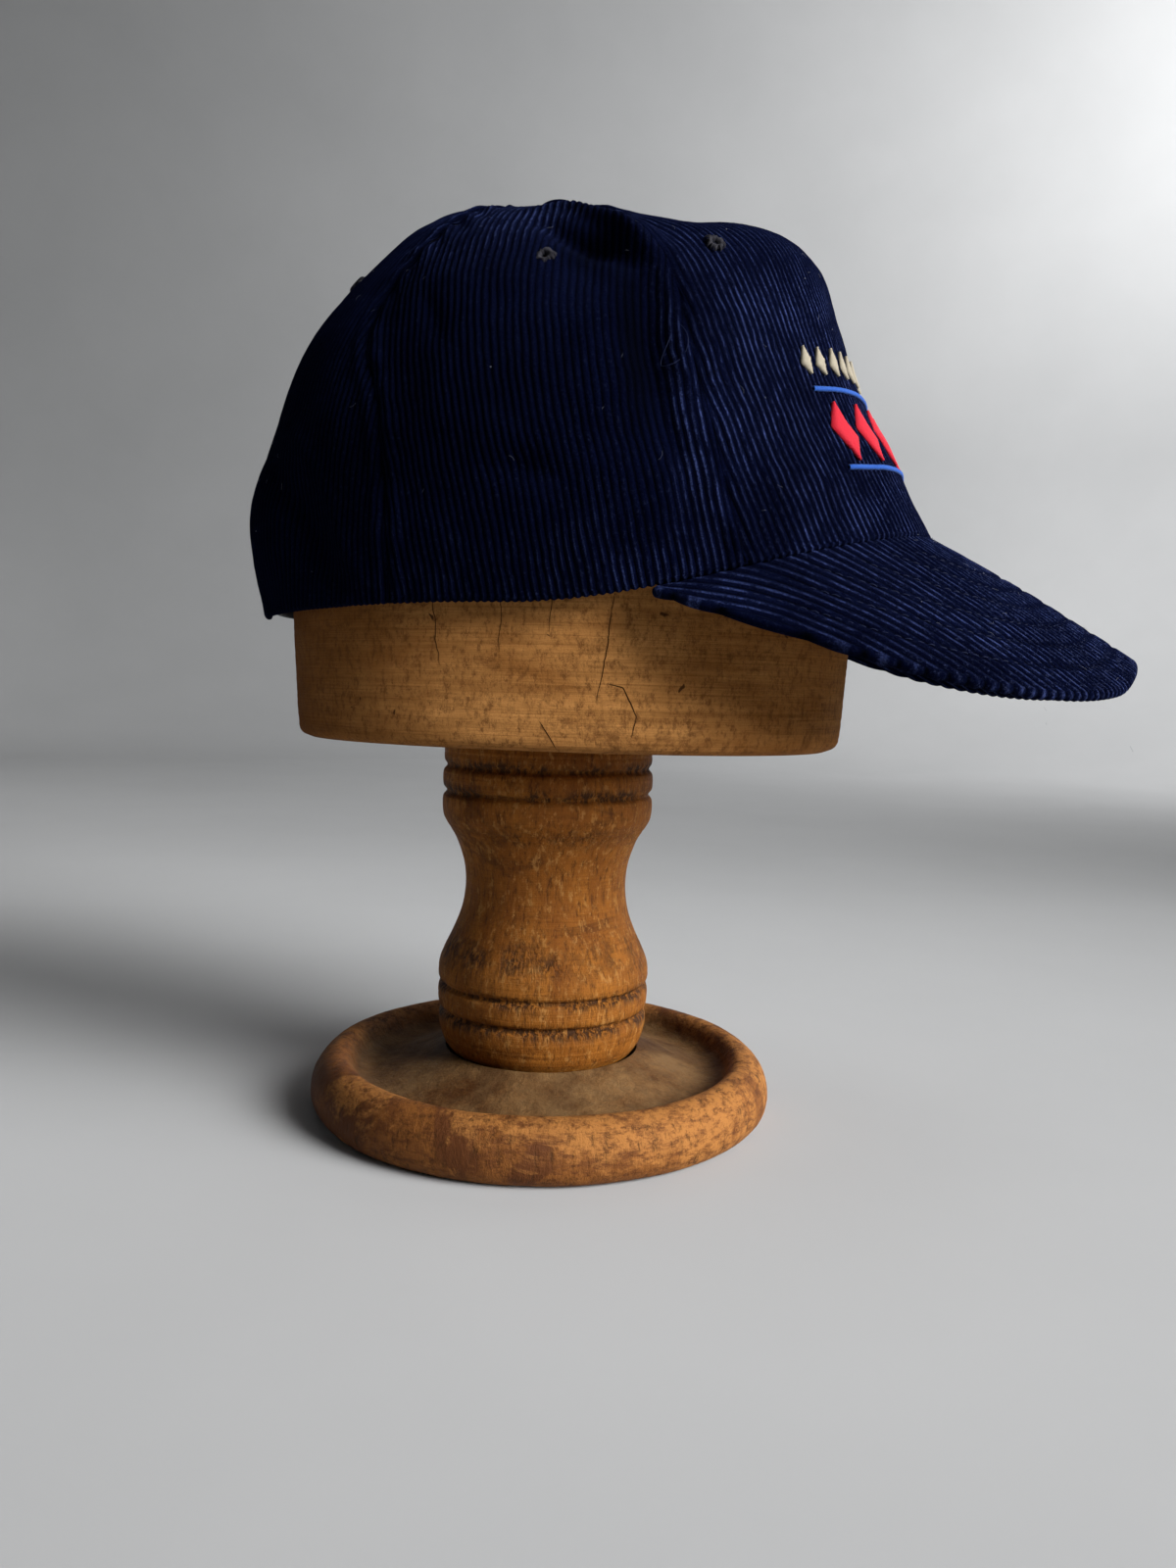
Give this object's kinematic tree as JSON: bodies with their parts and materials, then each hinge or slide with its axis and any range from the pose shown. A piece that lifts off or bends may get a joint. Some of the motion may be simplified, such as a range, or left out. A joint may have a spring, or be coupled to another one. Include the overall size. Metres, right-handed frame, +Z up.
{
  "type": "trucker cap on a wooden hat stand",
  "caption": "Dark corduroy trucker cap with a stiff front panel and a curved brim, resting on an oval wooden hat block on a turned pillar and a dished round foot.",
  "frame": {"origin": "middle of the foot's flat underside, on the axis of the turned pillar", "axes": "+Z up, +X forward, where the brim points, +Y to the wearer's left"},
  "size_m": [0.288, 0.17, 0.3102],
  "materials": {
    "corduroy": "dark navy wide-wale corduroy with a soft pile",
    "thread": "satin embroidery thread",
    "strap_plastic": "moulded, slightly glossy",
    "block_wood": "old sanded hardwood, waxed, with fine cracks",
    "turned_wood": "turned orange-brown wood, lightly waxed"
  },
  "bodies": {
    "root": {"front_panel": "corduroy", "side_panel_left": "corduroy", "side_panel_right": "corduroy", "back_panel_left": "corduroy", "back_panel_right": "corduroy", "brim": "corduroy", "top_button": "corduroy", "eyelet_front_left": "thread", "eyelet_front_right": "thread", "eyelet_side_left": "thread", "eyelet_side_right": "thread", "eyelet_back_left": "thread", "eyelet_back_right": "thread", "back_strap": "strap_plastic", "hat_block": "block_wood", "pillar": "turned_wood", "foot": "turned_wood"}
  },
  "joints": []
}
